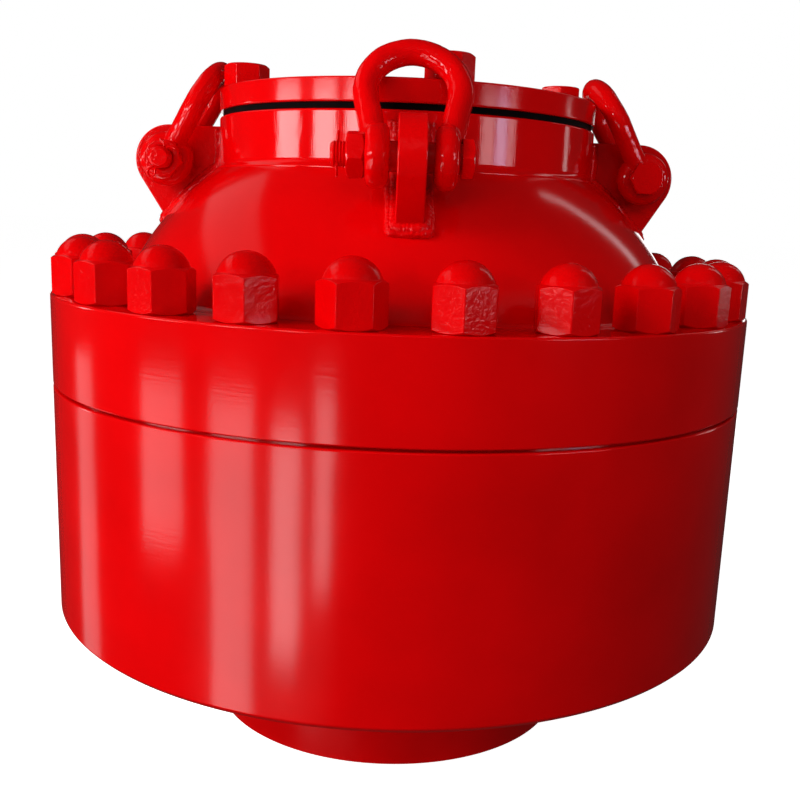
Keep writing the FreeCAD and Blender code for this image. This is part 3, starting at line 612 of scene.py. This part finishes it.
def evenly(points, spacing):
    """Points along a run of points, a spacing apart."""
    made, left = [points[0]], spacing
    for start, end in zip(points, points[1:]):
        run = (end - start).length
        along = left
        while along <= run:
            made.append(start.lerp(end, along / run))
            along += spacing
        left = along - run
    return made


def weld_bead(route, radius, rng):
    """A run of overlapping ripples along a route, as a tube of uneven thickness."""
    curve = round_wire("bead", 1.0)
    points = evenly(route, BEAD_STEP)
    spline = curve.splines.new("POLY")
    spline.points.add(len(points) - 1)
    ripple = 0.0
    for point, place in zip(spline.points, points):
        ripple += BEAD_STEP / RIPPLE_PITCH + rng.uniform(-0.05, 0.05)
        sway = noise.noise_vector(place * 0.045) * 2.4
        point.co = (*(place + sway), 1)
        swell = noise.noise(place * 0.06) * 0.14
        point.radius = radius * (0.96 + swell + 0.11 * abs(math.sin(math.pi * ripple)))
    return worked(curve)


def make_welds():
    """Two beads along each lug's foot, whose sway is the same on every run for its seed."""
    noise.seed_set(WELD_SEED)
    for number, (side, azimuth) in enumerate(SIDES.items()):
        rng = random.Random(40 + number)
        beads = [weld_bead(weld_route(0.0), 9.5, rng), weld_bead(weld_route(7.0), 6.0, rng)]
        seam = joined(beads)
        seam.transform(placed(azimuth))
        finish_piece("lug_weld_bead_" + side, seam, ENAMEL["weld"],
                     ["lug_weld_" + side], smooth=180)


# ---------------------------------------------------------------- shackles
def shackle_place(side):
    """From a shackle's own frame, pin along Y and bow along Z, to where it leans."""
    lean = Matrix.Translation((PIN_R, 0, PIN_Z)) @ Matrix.Rotation(-BOW_LEAN, 4, "Y")
    return placed(SIDES[side], lean)


def bow_bar():
    """The round bar: a circle spun round the crown and run down both legs to the eyes."""
    eye_y = JAW + EYE_THICKNESS / 2
    reach = math.hypot(eye_y, BOW_CROWN_HEIGHT)
    tangent = (math.atan2(BOW_CROWN_HEIGHT, -eye_y)
               - math.asin(BOW_CROWN_R / reach))
    dip = math.pi / 2 - tangent
    bm = bmesh.new()
    centre = Vector((0, 0, BOW_CROWN_HEIGHT))
    ring = bmesh.ops.create_circle(
        bm, segments=28, radius=BOW_BAR_R,
        matrix=Matrix.Translation(centre + Vector((0, BOW_CROWN_R, 0))))["verts"]
    bmesh.ops.rotate(bm, verts=ring, cent=centre, matrix=Matrix.Rotation(-dip, 3, "X"))
    leg_end = Vector((0, eye_y, 0)) + 14 * Vector((0, math.cos(tangent), math.sin(tangent)))
    touch = centre + Vector((0, BOW_CROWN_R * math.cos(dip), -BOW_CROWN_R * math.sin(dip)))
    edges = list({edge for vert in ring for edge in vert.link_edges})
    down = bmesh.ops.extrude_edge_only(bm, edges=edges)["geom"]
    lower = [item for item in down if isinstance(item, bmesh.types.BMVert)]
    bmesh.ops.translate(bm, verts=lower, vec=leg_end - touch)
    spun = bmesh.ops.spin(bm, geom=ring + edges, cent=centre, axis=(1, 0, 0),
                          dvec=(0, 0, 0), angle=math.pi + 2 * dip, steps=48)["geom_last"]
    last = [item for item in spun if isinstance(item, bmesh.types.BMEdge)]
    across = bmesh.ops.extrude_edge_only(bm, edges=last)["geom"]
    lower = [item for item in across if isinstance(item, bmesh.types.BMVert)]
    bmesh.ops.translate(bm, verts=lower, vec=Vector((0, -1, 1)) * (leg_end - touch))
    bmesh.ops.holes_fill(bm, edges=bm.edges, sides=0)
    bmesh.ops.recalc_face_normals(bm, faces=bm.faces)
    return to_mesh(bm, "bar")


def bow_eye(side):
    """One eye: a thick disc across the pin, its outer edge well rounded by the die."""
    half = EYE_THICKNESS / 2
    bm = lathe([(0, -half), (EYE_R, -half, 12.5), (EYE_R, half, 12.5), (0, half)], turns=64)
    place = Matrix.Translation((0, side * (JAW + half), 0)) @ Matrix.Rotation(
        math.pi / 2, 4, "X")
    bmesh.ops.transform(bm, matrix=place, verts=bm.verts)
    return to_mesh(bm, "eye")


def forged(worker):
    """Runs the bar and the eyes into one skin, as a die leaves them."""
    remesh = worker.modifiers.new("one_skin", "REMESH")
    remesh.mode = "VOXEL"
    remesh.voxel_size = 1.7
    smooth = worker.modifiers.new("die_rounding", "SMOOTH")
    smooth.factor = 0.5
    smooth.iterations = 9


def bow_forging():
    raw = joined([bow_bar(), bow_eye(1), bow_eye(-1)])
    skin = worked(raw, forged)
    for vert in skin.vertices:
        flash = max(0.0, 1 - abs(vert.co.x) / 1.6) * 0.45
        lumps = noise.noise(vert.co * 0.05) * 0.5 + noise.noise(vert.co * 0.17) * 0.18
        vert.co += vert.normal * (lumps + flash)
    drill = bmesh.new()
    cylinder(drill, PIN_SHANK_R + 0.5, 160, Matrix.Rotation(math.pi / 2, 4, "X"))
    return drilled(skin, to_mesh(drill, "drill"))


def pin_place(side):
    """A frame on the pin's axis, its Z along the axis towards the head."""
    turn = Matrix.Rotation(-PIN_HEAD_SIDE[side] * math.pi / 2, 4, "X")
    return shackle_place(side) @ turn


def pin_bolt():
    """The pin along Z: hexagon head, plain shank and a thinner threaded end."""
    grip = JAW + EYE_THICKNESS
    head = grip + PIN_HEAD_GAP
    corner_r = PIN_HEAD_FLATS / 2 / math.cos(math.pi / 6)
    drop = (corner_r - PIN_HEAD_FLATS / 2 + 1) * math.tan(math.radians(30))
    bm = lathe([
        (PIN_SHANK_R, head),
        (corner_r - 0.6, head),
        (corner_r - 0.6, head + PIN_HEAD_HEIGHT - drop),
        (PIN_HEAD_FLATS / 2 - 1, head + PIN_HEAD_HEIGHT),
        (0, head + PIN_HEAD_HEIGHT),
        (0, head),
    ], turns=72)
    slice_flats(bm, PIN_HEAD_FLATS)
    soften(bm, 1.0)
    head_mesh = to_mesh(bm, "head")
    thread = []
    start = -grip - PIN_THREAD_LENGTH
    pitch = 3.6
    for index in range(int(PIN_THREAD_LENGTH / pitch)):
        level = start + 2.5 + index * pitch
        thread += [(PIN_THREAD_R - 1.4, level), (PIN_THREAD_R, level + pitch * 0.4),
                   (PIN_THREAD_R, level + pitch * 0.6)]
    shank = lathe([
        (0, start),
        (PIN_THREAD_R - 3.0, start, 1.0),
        *thread,
        (PIN_THREAD_R - 1.0, -grip),
        (PIN_SHANK_R, -grip, 0.5),
        (PIN_SHANK_R, head + 1),
        (0, head + 1),
    ], turns=48)
    return joined([head_mesh, to_mesh(shank, "shank")])


def cotter():
    """A split pin along Z, its loop at the top and its two legs bent apart below."""
    curve = round_wire("cotter", 1.5)
    for hand in (1, -1):
        loop = [(hand * 1.5, 17), (hand * 5.5, 22), (hand * 4.5, 28), (0, 30.5)]
        legs = [(hand * 1.5, -16), (hand * 4.0, -20), (hand * 12.0, -21.5)]
        points = legs[::-1] + loop
        spline = curve.splines.new("NURBS")
        spline.points.add(len(points) - 1)
        for point, (x, z) in zip(spline.points, points):
            point.co = (x, 0, z, 1)
        spline.order_u = 3
        spline.use_endpoint_u = True
    return worked(curve)


def make_shackles():
    bow, bolt, split_pin = bow_forging(), pin_bolt(), cotter()
    nut = hexagon_nut(SHACKLE_NUT_FLATS, SHACKLE_NUT_HEIGHT, PIN_THREAD_R, chamfer=2.5)
    grip = JAW + EYE_THICKNESS
    for side in SIDES:
        body = "shackle_" + side
        finish_piece("bow_forging_" + side, copies(bow, [shackle_place(side)]),
                     ENAMEL["drop_forging"], ["shackle_bow_" + side], body, 180)
        finish_piece("pin_bolt_" + side, copies(bolt, [pin_place(side)]),
                     ENAMEL["nut_forging"], ["shackle_pin_" + side], body)
        seat = (Matrix.Translation((0, 0, -grip)) @ Matrix.Rotation(math.pi, 4, "X")
                @ Matrix.Rotation(math.radians(SHACKLE_NUT_TURN), 4, "Z"))
        finish_piece("pin_hex_nut_" + side, copies(nut, [pin_place(side) @ seat]),
                     ENAMEL["nut_forging"], ["shackle_nut_" + side], body)
        across = (Matrix.Translation((0, 0, 8 - PIN_THREAD_LENGTH - grip))
                  @ Matrix.Rotation(math.pi / 2, 4, "X"))
        finish_piece("split_pin_" + side, copies(split_pin, [pin_place(side) @ across]),
                     ENAMEL["drop_forging"], ["cotter_pin_" + side], body)


# ---------------------------------------------------------------- stage, lights and camera
def make_floor():
    """A pale light table: it shows the part's shadow and throws no light back at it."""
    material, tree, place = new_material("pale_matt_floor")
    cloud = add(tree, "ShaderNodeTexNoise", {"Vector": place, "Scale": 1.1, "Detail": 2.0})
    tone = add(tree, "ShaderNodeMix", {0: cloud, 6: rgba("#F6F6F6"), 7: rgba("#F1F1F1")},
               data_type="RGBA").outputs[2]
    shader = add(tree, "ShaderNodeBsdfPrincipled", {
        "Base Color": tone, "Roughness": 0.9, "Specular IOR Level": 0.0,
        "Emission Color": rgba("#FFFFFF"), "Emission Strength": 0.97})
    add(tree, "ShaderNodeOutputMaterial", {"Surface": shader})
    bm = bmesh.new()
    bmesh.ops.create_circle(bm, cap_ends=True, segments=96, radius=60.0)
    floor = bpy.data.objects.new("floor", to_mesh(bm, "floor"))
    floor.data.materials.append(material)
    bpy.context.scene.collection.objects.link(floor)
    floor.visible_diffuse = floor.visible_glossy = floor.visible_shadow = False


# A hall's windows and lamps round the object: start and end azimuth in degrees from the front,
# distance, low and high end in metres, brightness and tint.  The enamel mirrors these.
PINK, LILAC, WHITE = "#FFD8DC", "#E4DCFF", "#FFFFFF"
WINDOWS = {
    "left_side": (-114, -103, 3, -1.3, 0.2, 0.6, WHITE),
    "left": (-79, -64, 3, -0.5, 0.15, 1.5, WHITE),
    "left_upper": (-79, -64, 3, 0.9, 1.25, 6, WHITE),
    "front_left": (-54, -41, 3, -1.3, 0.1, 2, WHITE),
    "front_left_upper": (-54, -41, 3, 0.9, 1.25, 7, WHITE),
    "front_narrow": (-35, -27, 3, -0.9, 0, 3, WHITE),
    "front_narrow_upper": (-35, -27, 3, 0.9, 1.25, 7, WHITE),
    "front_slit": (-23, -18, 3, -0.6, 0.15, 2.5, WHITE),
    "right_wide_upper": (40, 48, 3, 0.6, 1.25, 4, PINK),
    "right_middle_upper": (49, 56, 3, 0.9, 1.25, 6, LILAC),
    "right_narrow_upper": (57, 61, 3, 0.9, 1.25, 4, PINK),
    "far_right_upper": (103, 106, 3, 0.9, 1.25, 2, WHITE),
    "rear_right": (150, 158, 3, 0, 1.2, 1.5, WHITE),
    "rear_left": (-172, -160, 3, 0.2, 0.9, 1, WHITE),
    "left_lamp": (-109, -103, 3, 0.6, 0.9, 9, WHITE),
    "right_lamp": (106, 111, 3, 0.6, 0.9, 6, WHITE),
    "left_roof_light": (-140, -72, 3, 2.6, 4.2, 0.25, WHITE),
    "right_roof_light": (123, 127, 3, 1.7, 4.2, 1.2, WHITE),
}
# Soft boxes for the shading alone, in the same terms, which the enamel doesn't mirror.
SOFTBOXES = {
    "key": (-80, -45, 3, 1.8, 3, 10, WHITE),
    "key_front": (-30, 10, 3, 1.8, 3, 2, WHITE),
    "over_left": (-80, -27, 3, 1.25, 1.5, 5, WHITE),
    "over_right": (40, 60, 3, 1.25, 1.5, 4, WHITE),
    "near_right": (30, 60, 1.3, 1.2, 1.6, 2.5, WHITE),
    "low_left": (-60, -20, 3, -1.5, -0.3, 2, WHITE),
}


def soft_light(name, start, end, distance, low, high, brightness, colour):
    light = bpy.data.lights.new(name, "AREA")
    light.shape = "RECTANGLE"
    light.size = distance * math.radians(end - start)
    light.size_y = high - low
    light.energy = 4 * brightness * light.size * light.size_y
    light.color = rgba(colour)[:3]
    holder = bpy.data.objects.new(name, light)
    azimuth = math.radians((start + end) / 2)
    holder.location = (math.sin(azimuth) * distance, -math.cos(azimuth) * distance,
                       (low + high) / 2)
    holder.rotation_euler = (math.pi / 2, 0, azimuth)
    holder.visible_camera = False
    bpy.context.scene.collection.objects.link(holder)
    return holder


def make_lights():
    for name, terms in WINDOWS.items():
        soft_light(name, *terms)
    for name, terms in SOFTBOXES.items():
        soft_light(name, *terms).visible_glossy = False
    world = bpy.data.worlds.new("studio")
    bpy.context.scene.world = world
    world.use_nodes = True
    world.cycles.sampling_method = "NONE"
    tree = world.node_tree
    tree.nodes.clear()
    mirrored = add(tree, "ShaderNodeLightPath").outputs["Is Glossy Ray"]
    seen = add(tree, "ShaderNodeLightPath").outputs["Is Camera Ray"]
    fill = add(tree, "ShaderNodeBackground", {"Color": rgba("#FFFFFF"), "Strength": 0.03})
    dark = add(tree, "ShaderNodeBackground", {"Color": rgba("#FFFFFF"), "Strength": 0.02})
    backdrop = add(tree, "ShaderNodeBackground", {"Color": rgba("#FFFFFF"), "Strength": 1.0})
    unseen = add(tree, "ShaderNodeMixShader", {0: mirrored, 1: fill, 2: dark})
    mix = add(tree, "ShaderNodeMixShader", {0: seen, 1: unseen, 2: backdrop})
    add(tree, "ShaderNodeOutputWorld", {"Surface": mix})


def make_camera():
    """A long-ish lens a metre and a half in front, a little above, rolled by two degrees."""
    camera = bpy.data.cameras.new("camera")
    camera.sensor_width = 36.0
    camera.lens = 45.45
    camera.shift_x, camera.shift_y = -0.0222, 0.0471
    yaw, pitch, roll = math.radians(2.215), math.radians(12.28), math.radians(2.3685)
    forward = Vector((math.sin(yaw) * math.cos(pitch), math.cos(yaw) * math.cos(pitch),
                      -math.sin(pitch)))
    level = Vector((math.cos(yaw), -math.sin(yaw), 0))
    above = level.cross(forward)
    right = level * math.cos(roll) + above * math.sin(roll)
    up = above * math.cos(roll) - level * math.sin(roll)
    holder = bpy.data.objects.new("camera", camera)
    turn = Matrix((right, up, -forward)).transposed().to_4x4()
    where = Vector((-0.0265, -1.5576, BONNET_TOP * MM + 0.1199))
    holder.matrix_world = Matrix.Translation(where) @ turn
    bpy.context.scene.collection.objects.link(holder)
    bpy.context.scene.camera = holder


# ---------------------------------------------------------------- the whole scene
make_bottom_flange()
make_housing()
make_bonnet()
make_cover()
make_cover_nuts()
make_cap_nuts()
make_lugs()
make_welds()
make_shackles()
for node, material in (("piston", TURNED_STEEL), ("housing_studs", TURNED_STEEL),
                       ("cover_studs", TURNED_STEEL), ("packing_element", PACKING_RUBBER)):
    frame["nodes"][node].data.materials.clear()
    frame["nodes"][node].data.materials.append(material)
make_floor()
make_lights()
make_camera()
bpy.context.scene.view_settings.view_transform = "Standard"
